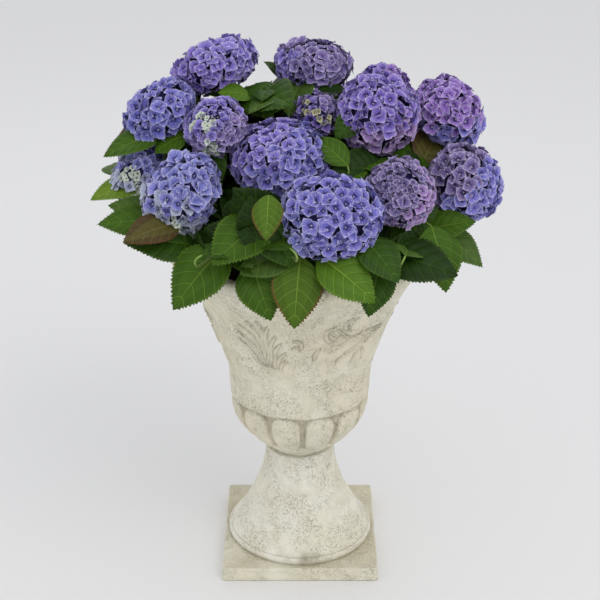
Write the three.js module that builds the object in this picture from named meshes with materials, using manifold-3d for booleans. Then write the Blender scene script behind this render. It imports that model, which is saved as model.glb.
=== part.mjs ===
// A mophead hydrangea shrub growing in a footed stone urn.
// Millimetres, +Z up, the front faces -Y. The origin is the middle of the underside of the plinth.
import * as THREE from "three";
import { mergeVertices } from "three/addons/utils/BufferGeometryUtils.js";
import Module from "manifold-3d";

const wasm = await Module();
wasm.setup();

// ---- Driving dimensions ----

const JOINT_GAP = 0.3; // between stacked pieces of the urn
const LEAF_GAP = 1.2; // between blooms, stems and foliage

const PLINTH_SIDE = 280;
const PLINTH_HEIGHT = 27;
const PLINTH_CORNER = 5;
const PLINTH_CHAMFER = 2.5;

const FOOT_RADIUS = 132;
const FOOT_BEAD_TOP = 40;
const FLARE_RADIUS = 118;
const FLARE_START = 55;
const FLARE_POWER = 1.8;
const NECK_RADIUS = 61.5;
const NECK_TOP = 210;

const CUP_FOOT_RADIUS = 58;
const CUP_START = 216;
const CUP_TOP = 322;
const CUP_RADIUS = 123.5;
const BAND_TOP = 385;
const BAND_RADIUS = 127;
const FLARE_FOOT = 395;
const FLARE_FOOT_RADIUS = 132;
const LIP_UNDERSIDE = 592;
const RIM_RADIUS = 228;
const RIM_TOP = 612;
const WALL = 21;
const BOWL_FLOOR = 246;

const GADROONS = 12;
const GADROON_TURN = THREE.MathUtils.degToRad(2.5);
const GADROON_DEPTH = 7;
const BOWL_SEGMENTS = 36;
const FOOT_SEGMENTS = 20;
const STEM_SEGMENTS = 10;

const SOIL_EDGE = 566;
const SOIL_CROWN = 576;

const STEM_RADIUS = 20;
const STEM_TOP = 604;
const OUTER_CANES = 8;
const CANE_RADIUS = 4.4;
const CANE_TAPER = 0.75;
const CANE_SIDES = 6;
const CANE_LENGTHS = 3;
const CANE_RING = 14;
const CANE_REACH = 150;
const CANE_END_HEIGHT = 690;
const CENTRE_CANE_TOP = 715;

// Every bloom leans away from this point in the heart of the crown.
const LEAN_CENTRE = new THREE.Vector3(0, 0, 540);

// Blooms: name, centre x, y, z, half width across the lean, half width up the lean, half depth.
const BLOOMS = [
  ["bloom_front", 49, -198, 722, 81, 69, 62],
  ["bloom_middle", -33, -70, 770, 78, 76, 66],
  ["bloom_right_inner", 159, -138, 740, 61, 56, 56],
  ["bloom_left_low", -186, -120, 731, 64, 72, 54],
  ["bloom_far_left", -262, -28, 731, 50, 53, 44],
  ["bloom_left_high", -228, 4, 826, 68, 68, 50],
  ["bloom_left_inner", -134, -50, 819, 56, 56, 48],
  ["bloom_top_left", -140, 75, 884, 76, 73, 49],
  ["bloom_top", 25, 75, 886, 63, 61, 48],
  ["bloom_small_centre", 26, 5, 824, 45, 42, 38],
  ["bloom_right_high", 126, -10, 824, 70, 69, 69],
  ["bloom_top_right", 141, 112, 833, 51, 50, 48],
  ["bloom_far_right_high", 242, 35, 817, 61, 65, 59],
  ["bloom_far_right_low", 266, -58, 727, 66, 63, 62],
  ["bloom_back_left", -205, 120, 755, 66, 64, 54],
  ["bloom_back_left_low", -135, 205, 700, 68, 64, 55],
  ["bloom_back_middle", -62, 178, 764, 60, 58, 48],
  ["bloom_back", 15, 232, 712, 72, 68, 56],
  ["bloom_back_right_middle", 72, 196, 772, 58, 56, 47],
  ["bloom_back_right_low", 160, 190, 705, 66, 64, 54],
  ["bloom_back_right", 225, 125, 745, 62, 60, 52],
];
const BLOOM_UNDERSIDE = 0.85; // the underside is flatter than the dome by this factor
const BLOOM_ROUND = 9;
const BLOOM_RINGS = 6;

// Foliage masses: name, centre x, y, z, half sizes x, y, z.
const MASSES = [
  ["foliage_front", 0, -195, 668, 95, 62, 48],
  ["foliage_front_right", 150, -160, 672, 80, 70, 50],
  ["foliage_right", 215, -30, 690, 70, 85, 55],
  ["foliage_back_right", 165, 130, 680, 85, 75, 58],
  ["foliage_back", 0, 190, 675, 95, 65, 60],
  ["foliage_back_left", -165, 135, 680, 85, 75, 58],
  ["foliage_left", -220, -15, 700, 72, 85, 58],
  ["foliage_front_left", -150, -150, 672, 82, 72, 50],
  ["foliage_top_left", -118, 62, 826, 74, 66, 44],
  ["foliage_top", -8, 52, 846, 58, 62, 42],
  ["foliage_top_right", 100, 70, 806, 80, 70, 44],
  ["foliage_heart", 0, 0, 742, 150, 140, 88],
];
const MASS_ROUND = 10;
const MASS_RINGS = 5;
const MASS_UNEVEN = 0.09;

// Leaf tips that make the outline: mass, azimuth in degrees from +X, reach, tip height, length, width.
const LEAF_TIPS = [
  ["foliage_left", 191, 348, 700, 110, 78],
  ["foliage_left", 187, 325, 776, 110, 74],
  ["foliage_left", 176, 322, 690, 110, 80],
  ["foliage_left", 203, 350, 684, 112, 78],
  ["foliage_front_left", 217, 345, 676, 120, 84],
  ["foliage_front_left", 232, 318, 592, 125, 96],
  ["foliage_front_left", 243, 296, 660, 110, 90],
  ["foliage_front", 258, 266, 574, 112, 74],
  ["foliage_front", 269, 272, 566, 115, 82],
  ["foliage_front", 291, 296, 608, 115, 80],
  ["foliage_front_right", 295, 274, 576, 100, 64],
  ["foliage_front_right", 304, 296, 628, 100, 70],
  ["foliage_front_right", 318, 328, 636, 120, 90],
  ["foliage_front_right", 321, 305, 592, 112, 80],
  ["foliage_right", 336, 324, 612, 110, 70],
  ["foliage_right", 335, 312, 690, 105, 66],
  ["foliage_right", 352, 318, 640, 110, 78],
  ["foliage_right", 8, 322, 655, 110, 80],
  ["foliage_back_right", 26, 330, 668, 112, 82],
  ["foliage_back_right", 42, 316, 610, 112, 84],
  ["foliage_back_right", 60, 318, 660, 110, 80],
  ["foliage_back", 76, 304, 600, 112, 84],
  ["foliage_back", 92, 312, 652, 112, 84],
  ["foliage_back", 107, 302, 592, 112, 84],
  ["foliage_back_left", 122, 320, 655, 112, 82],
  ["foliage_back_left", 140, 318, 606, 112, 84],
  ["foliage_back_left", 158, 332, 664, 112, 80],
];
const LEAF_THICKNESS = 9;
const LEAF_ROWS = 4;
const LOBE_GROWTH = 2.5; // how much more a thin sloping lobe grows up and down than outwards
const LEAF_ARCH = 24; // least height of a leaf's foot above its tip
const LEAF_FOOT_HEIGHT = 665; // leaves that hang over the rim start at least this high

// ---- Materials ----

function finish(colour, roughness) {
  return new THREE.MeshStandardMaterial({ color: colour, roughness, metalness: 0 });
}

const stone = finish(0xcfc8b4, 0.9);
const earth = finish(0x3a2a1e, 1.0);
const bark = finish(0x7d7a4a, 0.8);
const leaf = finish(0x3e6923, 0.55);
const petals = finish(0x7d74c8, 0.7);

// ---- Solids ----

function manifoldOf(geometry) {
  const bare = geometry.index ? geometry.toNonIndexed() : geometry.clone();
  const only = new THREE.BufferGeometry().setAttribute("position", bare.getAttribute("position"));
  const merged = mergeVertices(only, 1e-3);
  const corners = merged.index.array;
  const kept = [];
  for (let i = 0; i < corners.length; i += 3) {
    const [a, b, c] = [corners[i], corners[i + 1], corners[i + 2]];
    if (a !== b && b !== c && c !== a) kept.push(a, b, c);
  }
  return new wasm.Manifold(
    new wasm.Mesh({
      numProp: 3,
      vertProperties: merged.attributes.position.array,
      triVerts: new Uint32Array(kept),
    }),
  );
}

function geometryOf(manifold) {
  const mesh = manifold.getMesh();
  const geometry = new THREE.BufferGeometry();
  geometry.setAttribute("position", new THREE.BufferAttribute(mesh.vertProperties, 3));
  geometry.setIndex(new THREE.BufferAttribute(mesh.triVerts, 1));
  const flat = geometry.toNonIndexed();
  flat.computeVertexNormals();
  return flat;
}

function largestPiece(manifold) {
  const pieces = manifold.decompose();
  return pieces.reduce((best, piece) => (piece.volume() > best.volume() ? piece : best));
}

function moveVertices(geometry, place) {
  const position = geometry.getAttribute("position");
  const point = new THREE.Vector3();
  for (let i = 0; i < position.count; i += 1) {
    point.fromBufferAttribute(position, i);
    place(point);
    position.setXYZ(i, point.x, point.y, point.z);
  }
  geometry.computeVertexNormals();
  return geometry;
}

// ---- The urn ----

// A lathe round Z from [radius, height] pairs; turn is the azimuth of the first facet from the front.
function turned(profile, segments, turn = 0) {
  const points = profile.map(([radius, height]) => new THREE.Vector2(radius, height));
  return new THREE.LatheGeometry(points, segments, turn).rotateX(Math.PI / 2);
}

function steps(from, to, count, point) {
  return Array.from({ length: count + 1 }, (_, i) => point(from + ((to - from) * i) / count));
}

function plinthGeometry() {
  const half = PLINTH_SIDE / 2 - PLINTH_CHAMFER;
  const corner = PLINTH_CORNER;
  const outline = new THREE.Shape();
  outline.moveTo(-half + corner, -half);
  outline.lineTo(half - corner, -half);
  outline.quadraticCurveTo(half, -half, half, -half + corner);
  outline.lineTo(half, half - corner);
  outline.quadraticCurveTo(half, half, half - corner, half);
  outline.lineTo(-half + corner, half);
  outline.quadraticCurveTo(-half, half, -half, half - corner);
  outline.lineTo(-half, -half + corner);
  outline.quadraticCurveTo(-half, -half, -half + corner, -half);
  const slab = new THREE.ExtrudeGeometry(outline, {
    depth: PLINTH_HEIGHT - 2 * PLINTH_CHAMFER,
    bevelThickness: PLINTH_CHAMFER,
    bevelSize: PLINTH_CHAMFER,
    bevelSegments: 1,
    curveSegments: 3,
  });
  return slab.translate(0, 0, PLINTH_CHAMFER);
}

function flareRadius(height) {
  const rise = (height - FLARE_START) / (NECK_TOP - FLARE_START);
  return NECK_RADIUS + (FLARE_RADIUS - NECK_RADIUS) * (1 - rise) ** FLARE_POWER;
}

function pedestalGeometry() {
  const base = PLINTH_HEIGHT + JOINT_GAP;
  const profile = [
    [0, base],
    [FOOT_RADIUS, base],
    [FOOT_RADIUS + 1, base + 6],
    [FOOT_RADIUS - 1, FOOT_BEAD_TOP],
    [FLARE_RADIUS + 8, FOOT_BEAD_TOP + 3],
    ...steps(FLARE_START, NECK_TOP, 6, (z) => [flareRadius(z), z]),
    [0, NECK_TOP],
  ];
  return turned(profile, FOOT_SEGMENTS);
}

function cupRadius(height) {
  const rise = (height - CUP_START) / (CUP_TOP - CUP_START);
  return CUP_FOOT_RADIUS + (CUP_RADIUS - CUP_FOOT_RADIUS) * (1 - (1 - rise) ** 2.4);
}

// The wall rises straight and curls outwards more and more towards the lip.
function wallRadius(height) {
  const rise = height - FLARE_FOOT;
  return FLARE_FOOT_RADIUS + 0.33 * rise + 29 * (rise / (LIP_UNDERSIDE - FLARE_FOOT)) ** 4;
}

function bowlOutside() {
  return [
    [CUP_FOOT_RADIUS - 2, NECK_TOP + JOINT_GAP],
    ...steps(CUP_START, CUP_TOP, 5, (z) => [cupRadius(z), z]),
    [BAND_RADIUS, BAND_TOP],
    ...steps(FLARE_FOOT, LIP_UNDERSIDE, 4, (z) => [wallRadius(z), z]),
    [RIM_RADIUS, LIP_UNDERSIDE + 7],
    [RIM_RADIUS - 3, RIM_TOP - 3],
    [RIM_RADIUS - 10, RIM_TOP],
  ];
}

function bowlInside() {
  return [
    [RIM_RADIUS - 22, RIM_TOP - 6],
    [wallRadius(560) - WALL, 560],
    [FLARE_FOOT_RADIUS - WALL, FLARE_FOOT],
    [CUP_RADIUS - WALL - 4, CUP_TOP - 10],
    [0, BOWL_FLOOR],
  ];
}

function bowlGeometry() {
  const profile = [[0, NECK_TOP + JOINT_GAP], ...bowlOutside(), ...bowlInside()];
  const bowl = turned(profile, BOWL_SEGMENTS, GADROON_TURN);
  return moveVertices(bowl, (point) => {
    const radius = Math.hypot(point.x, point.y);
    if (point.z < CUP_START || point.z > CUP_TOP || radius < cupRadius(point.z) - 1) return;
    const swell = Math.sin((Math.PI * (point.z - CUP_START)) / (CUP_TOP + 3 - CUP_START));
    const azimuth = Math.atan2(point.x, -point.y) - GADROON_TURN;
    const groove = 1 - Math.abs(Math.sin((GADROONS / 2) * azimuth)) ** 0.6;
    const scale = 1 - (GADROON_DEPTH * swell * groove) / radius;
    point.x *= scale;
    point.y *= scale;
  });
}

function soilGeometry() {
  const inset = bowlInside()
    .slice(2, -1)
    .reverse()
    .map(([radius, height]) => [radius - LEAF_GAP, height + LEAF_GAP]);
  const profile = [
    [0, BOWL_FLOOR + LEAF_GAP],
    ...inset,
    [wallRadius(560) - WALL - LEAF_GAP, 560],
    [wallRadius(560) - WALL - LEAF_GAP, SOIL_EDGE],
    [90, SOIL_CROWN],
    [0, SOIL_CROWN],
  ];
  return turned(profile, BOWL_SEGMENTS / 2, GADROON_TURN);
}

// The whole space of the bowl, a little larger all round, which foliage keeps out of.
function bowlKeepOut() {
  const profile = bowlOutside().map(([radius, height]) => [radius + LEAF_GAP, height]);
  const top = RIM_TOP + LEAF_GAP;
  profile.push([RIM_RADIUS - 10, top], [0, top]);
  return manifoldOf(turned([[0, NECK_TOP], ...profile], BOWL_SEGMENTS, GADROON_TURN));
}

// ---- Stems ----

function stemGeometry() {
  const foot = SOIL_CROWN + JOINT_GAP;
  const profile = [
    [0, foot],
    [STEM_RADIUS + 5, foot],
    [STEM_RADIUS, foot + 9],
    [STEM_RADIUS - 1, STEM_TOP],
    [0, STEM_TOP],
  ];
  return turned(profile, STEM_SEGMENTS);
}

// A tapering cane along a curve, closed at both ends.
function caneGeometry(curve, footRadius, endRadius) {
  const side = new THREE.Vector3();
  const across = new THREE.Vector3();
  const cane = new THREE.CylinderGeometry(endRadius, footRadius, 1, CANE_SIDES, CANE_LENGTHS);
  return moveVertices(cane, (point) => {
    const along = THREE.MathUtils.clamp(point.y + 0.5, 0, 1);
    const middle = curve.getPoint(along);
    const tangent = curve.getTangent(along);
    side.set(-Math.sin(curve.azimuth), Math.cos(curve.azimuth), 0);
    across.crossVectors(tangent, side).normalize();
    point.set(
      middle.x + side.x * point.z + across.x * point.x,
      middle.y + side.y * point.z + across.y * point.x,
      middle.z + side.z * point.z + across.z * point.x,
    );
  });
}

function outerCaneCurve(index) {
  const azimuth = (2 * Math.PI * (index + 0.5)) / OUTER_CANES;
  const outward = (radius, height) =>
    new THREE.Vector3(radius * Math.cos(azimuth), radius * Math.sin(azimuth), height);
  const curve = new THREE.QuadraticBezierCurve3(
    outward(CANE_RING, STEM_TOP + JOINT_GAP),
    outward(CANE_RING, STEM_TOP + 50),
    outward(CANE_REACH, CANE_END_HEIGHT),
  );
  curve.azimuth = azimuth;
  return curve;
}

function centreCaneCurve() {
  const curve = new THREE.QuadraticBezierCurve3(
    new THREE.Vector3(0, 0, STEM_TOP + JOINT_GAP),
    new THREE.Vector3(0, 0, STEM_TOP + 50),
    new THREE.Vector3(10, 14, CENTRE_CANE_TOP),
  );
  curve.azimuth = 0;
  return curve;
}

// ---- Blooms and foliage ----

// The frame of a bloom: its lean, a level direction across it, and the direction up its slope.
function leanFrame(centre) {
  const lean = centre.clone().sub(LEAN_CENTRE).normalize();
  const across = new THREE.Vector3(0, 0, 1).cross(lean).normalize();
  const upslope = lean.clone().cross(across);
  return new THREE.Matrix4().makeBasis(across, upslope, lean);
}

function bloomGeometry([, x, y, z, halfAcross, halfUp, halfDepth], grow) {
  const centre = new THREE.Vector3(x, y, z);
  const dome = new THREE.SphereGeometry(1, BLOOM_ROUND, BLOOM_RINGS).rotateX(Math.PI / 2);
  moveVertices(dome, (point) => {
    const uneven = 1 + 0.025 * Math.sin(3 * point.x + x) + 0.025 * Math.sin(4 * point.y + z);
    const depth = point.z < 0 ? halfDepth * BLOOM_UNDERSIDE : halfDepth;
    point.set(
      point.x * (halfAcross * uneven + grow),
      point.y * (halfUp * uneven + grow),
      point.z * (depth * uneven + grow),
    );
  });
  return dome.applyMatrix4(leanFrame(centre)).translate(x, y, z);
}

// An uneven lump whose surface swells and dips by MASS_UNEVEN, with a phase of its own.
function lumpGeometry([, x, y, z, halfX, halfY, halfZ], grow) {
  const lump = new THREE.SphereGeometry(1, MASS_ROUND, MASS_RINGS).rotateX(Math.PI / 2);
  const phase = 0.05 * x + 0.03 * y;
  moveVertices(lump, (point) => {
    const swell =
      Math.sin(4 * point.x + phase) * Math.cos(3 * point.y - phase) +
      0.6 * Math.sin(5 * point.z + 2 * point.x + phase);
    const scale = 1 + MASS_UNEVEN * swell;
    point.set(
      point.x * (halfX * scale + grow),
      point.y * (halfY * scale + grow),
      point.z * (halfZ * scale + grow),
    );
  });
  return lump.translate(x, y, z);
}

// Half width of a leaf as a share of its greatest half width, from its foot (0) to its tip (1).
function leafOutline(along) {
  return Math.sin(Math.PI * along ** 0.8) ** 0.75;
}

// One leaf-shaped lobe: a lens with a leaf outline that arches from inside the crown out to its tip.
function lobeGeometry([, azimuthDegrees, reach, height, length, width], grow) {
  const azimuth = THREE.MathUtils.degToRad(azimuthDegrees);
  const lobe = new THREE.CylinderGeometry(1, 1, 1, 4, LEAF_ROWS);
  const foot = reach - length;
  const drop = Math.max(LEAF_ARCH, LEAF_FOOT_HEIGHT - height);
  return moveVertices(lobe, (point) => {
    const along = THREE.MathUtils.clamp(point.y + 0.5, 0, 1);
    const spread = Math.max(leafOutline(along), 0.06);
    const half = (width / 2) * spread + grow;
    const thick = (LEAF_THICKNESS / 2) * (0.4 + 0.6 * spread) + LOBE_GROWTH * grow;
    const radius = foot + (length + 2 * grow) * along - grow;
    const middle = height + drop * (1 - along ** 2) + LEAF_THICKNESS / 2;
    const sideways = point.x * half;
    point.set(
      radius * Math.cos(azimuth) + sideways * Math.sin(azimuth),
      radius * Math.sin(azimuth) - sideways * Math.cos(azimuth),
      middle + point.z * thick,
    );
  });
}

function massManifold(mass, grow) {
  const lump = manifoldOf(lumpGeometry(mass, grow));
  const lobes = LEAF_TIPS.filter(([owner]) => owner === mass[0]);
  return lobes.reduce((sum, tip) => sum.add(manifoldOf(lobeGeometry(tip, grow))), lump);
}

// ---- Assembly ----

const shrub = new THREE.Group();

function addNode(name, geometry, material) {
  const mesh = new THREE.Mesh(geometry, material);
  mesh.name = name;
  shrub.add(mesh);
}

addNode("urn_plinth", plinthGeometry(), stone);
addNode("urn_pedestal", pedestalGeometry(), stone);
addNode("urn_bowl", bowlGeometry(), stone);
addNode("soil", soilGeometry(), earth);
addNode("main_stem", stemGeometry(), bark);

// Each new piece is cut back from the grown shapes of the pieces already placed.
const placed = [];

function place(name, solid, grown, material) {
  const box = solid.boundingBox();
  const near = placed.filter((other) =>
    [0, 1, 2].every((i) => other.box.min[i] < box.max[i] && box.min[i] < other.box.max[i]),
  );
  const cut = near.reduce((rest, other) => rest.subtract(other.grown), solid);
  addNode(name, geometryOf(largestPiece(cut)), material);
  placed.push({ grown, box: grown.boundingBox() });
}

const keepOut = bowlKeepOut();

for (let i = 0; i <= OUTER_CANES; i += 1) {
  const centre = i === OUTER_CANES;
  const curve = centre ? centreCaneCurve() : outerCaneCurve(i);
  const cane = (grow) => manifoldOf(caneGeometry(curve, CANE_RADIUS + grow, CANE_RADIUS * CANE_TAPER + grow));
  place(centre ? "cane_centre" : `cane_${i + 1}`, cane(0), cane(LEAF_GAP), bark);
}

placed.push({ grown: keepOut, box: keepOut.boundingBox() });

for (const bloom of BLOOMS) {
  const solid = manifoldOf(bloomGeometry(bloom, 0));
  place(bloom[0], solid, manifoldOf(bloomGeometry(bloom, LEAF_GAP)), petals);
}

for (const mass of MASSES) {
  place(mass[0], massManifold(mass, 0), massManifold(mass, LEAF_GAP), leaf);
}

export default shrub;
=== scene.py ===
import random
from math import cos, pi, radians, sin, sqrt

import bpy
import numpy as np
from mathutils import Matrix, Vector, noise


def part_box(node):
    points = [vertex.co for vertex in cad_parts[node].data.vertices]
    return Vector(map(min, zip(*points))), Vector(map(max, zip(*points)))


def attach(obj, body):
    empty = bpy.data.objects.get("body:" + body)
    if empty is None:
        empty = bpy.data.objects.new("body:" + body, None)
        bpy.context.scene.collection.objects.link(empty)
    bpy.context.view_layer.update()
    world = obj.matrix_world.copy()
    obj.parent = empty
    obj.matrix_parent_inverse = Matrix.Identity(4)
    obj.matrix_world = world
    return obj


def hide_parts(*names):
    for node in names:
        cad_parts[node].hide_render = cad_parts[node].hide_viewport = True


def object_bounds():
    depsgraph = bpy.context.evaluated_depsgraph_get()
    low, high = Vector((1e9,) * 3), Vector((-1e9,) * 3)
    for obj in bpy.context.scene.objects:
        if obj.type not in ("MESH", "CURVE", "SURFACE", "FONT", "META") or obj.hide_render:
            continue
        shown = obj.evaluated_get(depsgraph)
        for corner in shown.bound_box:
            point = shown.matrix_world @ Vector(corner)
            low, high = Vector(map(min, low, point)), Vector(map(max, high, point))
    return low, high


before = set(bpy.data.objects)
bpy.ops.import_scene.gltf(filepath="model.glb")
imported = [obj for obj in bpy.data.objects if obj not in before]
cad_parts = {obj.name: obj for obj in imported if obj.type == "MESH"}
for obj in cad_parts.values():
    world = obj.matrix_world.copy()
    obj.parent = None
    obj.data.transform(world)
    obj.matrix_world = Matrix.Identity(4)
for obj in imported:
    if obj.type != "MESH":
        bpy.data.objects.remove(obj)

CAD_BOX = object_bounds()
MM = 0.001
UP = np.array([0.0, 0.0, 1.0])


def add_object(name, data):
    thing = bpy.data.objects.new(name, data)
    bpy.context.scene.collection.objects.link(thing)
    return thing


def set_inputs(node, values):
    """Gives a node's inputs their values; an output of another node is linked."""
    for key, value in values.items():
        if isinstance(value, bpy.types.NodeSocket):
            node.id_data.links.new(value, node.inputs[key])
        else:
            node.inputs[key].default_value = value


def full_turn(count):
    return np.linspace(0, 2 * np.pi, count, endpoint=False)


# ---- camera, light, floor

CAMERA_BACK = 2.128  # from the urn's axis
CAMERA_HEIGHT = 1.470
CAMERA_DOWN = 24.68  # degrees below level
LENS = 80.7
SENSOR = 36
SKY_TINT, SKY_STRENGTH = (0.955, 0.96, 0.985, 1), 0.86
# Square area lights: name, place, aim, width, watts and tint.
LAMPS = [
    ("key", (1.3, -1.7, 2.9), (0, 0, 0.6), 1.8, 22, (1.0, 0.98, 0.95)),
    ("fill", (-2.0, -1.9, 1.9), (0, 0, 0.5), 2.4, 4, (0.97, 0.98, 1.0)),
    ("back", (-0.6, 2.4, 2.6), (0, 0, 0.7), 1.8, 6, (1.0, 1.0, 1.0)),
]
FLOOR_REACH, FLOOR_SIDES = 40, 64


def make_camera():
    data = bpy.data.cameras.new("camera")
    data.lens = LENS
    data.sensor_width = SENSOR
    data.clip_end = 100
    camera = add_object("camera", data)
    camera.location = (0, -CAMERA_BACK, CAMERA_HEIGHT)
    camera.rotation_euler = (radians(90 - CAMERA_DOWN), 0, 0)
    bpy.context.scene.camera = camera


def make_lights():
    world = bpy.data.worlds.new("studio")
    world.use_nodes = True
    set_inputs(world.node_tree.nodes["Background"], {"Color": SKY_TINT, "Strength": SKY_STRENGTH})
    bpy.context.scene.world = world
    bpy.context.scene.view_settings.view_transform = "Standard"
    for name, place, aim, width, watts, tint in LAMPS:
        data = bpy.data.lights.new(name, "AREA")
        data.shape, data.size, data.energy, data.color = "SQUARE", width, watts, tint
        lamp = add_object(name, data)
        lamp.location = place
        lamp.rotation_euler = (Vector(aim) - Vector(place)).to_track_quat("-Z", "Y").to_euler()


def make_floor():
    mesh = bpy.data.meshes.new("studio_floor")
    ring = [(FLOOR_REACH * cos(a), FLOOR_REACH * sin(a), 0) for a in full_turn(FLOOR_SIDES)]
    mesh.from_pydata(ring, [], [list(range(FLOOR_SIDES))])
    floor = add_object("studio_floor", mesh)
    mesh.materials.append(plain("floor_paper", (0.80, 0.80, 0.80), 0.9, 0.2))


# ---- materials

def plain(name, colour, roughness, specular=0.5, sheen=0.0):
    """A material of one even colour."""
    material = bpy.data.materials.new(name)
    material.use_nodes = True
    set_inputs(material.node_tree.nodes["Principled BSDF"], {
        "Base Color": (*colour, 1),
        "Roughness": roughness,
        "Specular IOR Level": specular,
        "Sheen Weight": sheen,
    })
    return material


def srgb(red, green, blue):
    """Display values of 0 to 255 as linear light."""
    shares = (v / 255 for v in (red, green, blue))
    return tuple(((v + 0.055) / 1.055) ** 2.4 if v > 0.04 else v / 12.92 for v in shares)


# ---- mesh helpers

def quad_mesh(name, points, quads, tones, materials):
    """A piece from arrays: points (n, 3), quads (m, 4) and a material slot for each quad."""
    mesh = bpy.data.meshes.new(name)
    corners, faces = mesh.loops, mesh.polygons
    for part, count in ((mesh.vertices, len(points)), (corners, len(quads) * 4), (faces, len(quads))):
        part.add(count)
    mesh.vertices.foreach_set("co", np.float32(points).ravel())
    corners.foreach_set("vertex_index", np.int32(quads).ravel())
    faces.foreach_set("loop_start", np.arange(0, len(quads) * 4, 4, dtype=np.int32))
    faces.foreach_set("material_index", np.int32(tones))
    faces.foreach_set("use_smooth", np.ones(len(quads), bool))
    for material in materials:
        mesh.materials.append(material)
    mesh.update(calc_edges=True)
    return add_object(name, mesh)


class Heap:
    """Collects many patches of quads into one piece, with materials by name."""

    def __init__(self):
        self.points, self.quads, self.tones = [], [], []
        self.count = 0
        self.names = []

    def slot(self, name):
        if name not in self.names:
            self.names.append(name)
        return self.names.index(name)

    def add(self, points, quads, tones):
        self.points.append(points)
        self.quads.append(quads + self.count)
        self.tones.append(tones)
        self.count += len(points)

    def add_round(self, points, rows, columns, tone):
        """Adds a grid whose last column joins the first, all in one tone."""
        quads = grid_quads(rows, columns, closed=True)
        self.add(points, quads, np.full(len(quads), self.slot(tone)))

    def joined(self):
        return [np.concatenate(part) for part in (self.points, self.quads, self.tones)]

    def piece(self, name, materials):
        return quad_mesh(name, *self.joined(), [materials[n] for n in self.names])


def grid_quads(rows, columns, closed=False):
    """Quads of a grid of points; closed joins the last column to the first."""
    across = columns if closed else columns - 1
    r, c = np.meshgrid(np.arange(rows - 1), np.arange(across), indexing="ij")
    r, c = r.ravel(), c.ravel()
    d = (c + 1) % columns
    return np.stack([r * columns + c, r * columns + d, (r + 1) * columns + d, (r + 1) * columns + c], 1)


def unit(v):
    v = np.asarray(v, float)
    return v / np.linalg.norm(v)


def fuzz_field(points, scale, shift=0.0):
    return np.array([noise.noise(Vector(p * scale) + Vector((shift, shift, shift))) for p in points])


TUBE_TIP = 1e-5


def tube(heap, path, radii, tone, sides=6, seed=0.0, rough=0.0):
    """A tube along a path; radii holds one for each point, or the first and the last in mm."""
    path = np.asarray(path, float)
    ahead = np.gradient(path, axis=0)
    ahead /= np.linalg.norm(ahead, axis=1)[:, None]
    side = np.cross(ahead, [0.31, 0.17, 0.93])
    side /= np.linalg.norm(side, axis=1)[:, None]
    over = np.cross(ahead, side)
    turn = full_turn(sides)
    if len(radii) == 2:
        radii = np.linspace(*radii, len(path)) * MM
    radii = radii[:, None] * np.ones((1, sides))
    if rough:
        radii = radii * (1 + rough * np.sin(3 * turn + seed + 40 * np.arange(len(path))[:, None] * 0.13))
    ring = side[:, None, :] * np.cos(turn)[None, :, None] + over[:, None, :] * np.sin(turn)[None, :, None]
    points = path[:, None, :] + ring * radii[:, :, None]
    start, end = (path[k] + ring[k] * TUBE_TIP for k in (0, -1))
    points = np.concatenate([start[None], points, end[None]]).reshape(-1, 3)
    heap.add_round(points, len(path) + 2, sides, tone)


def bezier(a, b, c, d, count):
    t = np.linspace(0, 1, count)[:, None]
    a, b, c, d = (np.asarray(p, float) for p in (a, b, c, d))
    return (1 - t) ** 3 * a + 3 * t * (1 - t) ** 2 * b + 3 * t ** 2 * (1 - t) * c + t ** 3 * d


# ---- blooms

# Middle display colour of each family of petals; the rim and the lighter band are blends towards
# PALE_HIGHLIGHT, paler sepal edges brightened as painted highlight, and the throat is a blend towards
# SHADE_INK, painted shade.
PETALS = {
    "blue": (113, 110, 192), "azure": (98, 100, 182), "sky": (119, 122, 194), "lavender": (123, 109, 192),
    "violet": (119, 97, 184), "purple": (138, 102, 184), "pink": (148, 115, 176), "mauve": (119, 101, 161),
    "dusk": (109, 92, 148), "ice": (159, 169, 192), "mint": (194, 207, 184), "olive": (165, 161, 113),
}
PALE_HIGHLIGHT, SHADE_INK = (226, 222, 240), (18, 12, 52)
# Blend shares for each part of a sepal: positive towards PALE_HIGHLIGHT, negative towards SHADE_INK. The
# throat's darkening is painted shade inside the cup and between the florets; the rim and the light band are
# partly the sepals' paler edges and partly painted highlight.
PARTS = {"rim": 0.55, "light": 0.18, "mid": 0.0, "shaded_throat": -0.45}
# SHADE_DOME_COLOUR is painted shade: the colour of the dark dome behind the florets, standing in for the
# shade between them; EYE is the florets' own colour.
EYE, SHADE_DOME_COLOUR = (226, 224, 240), (56, 50, 98)

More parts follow.
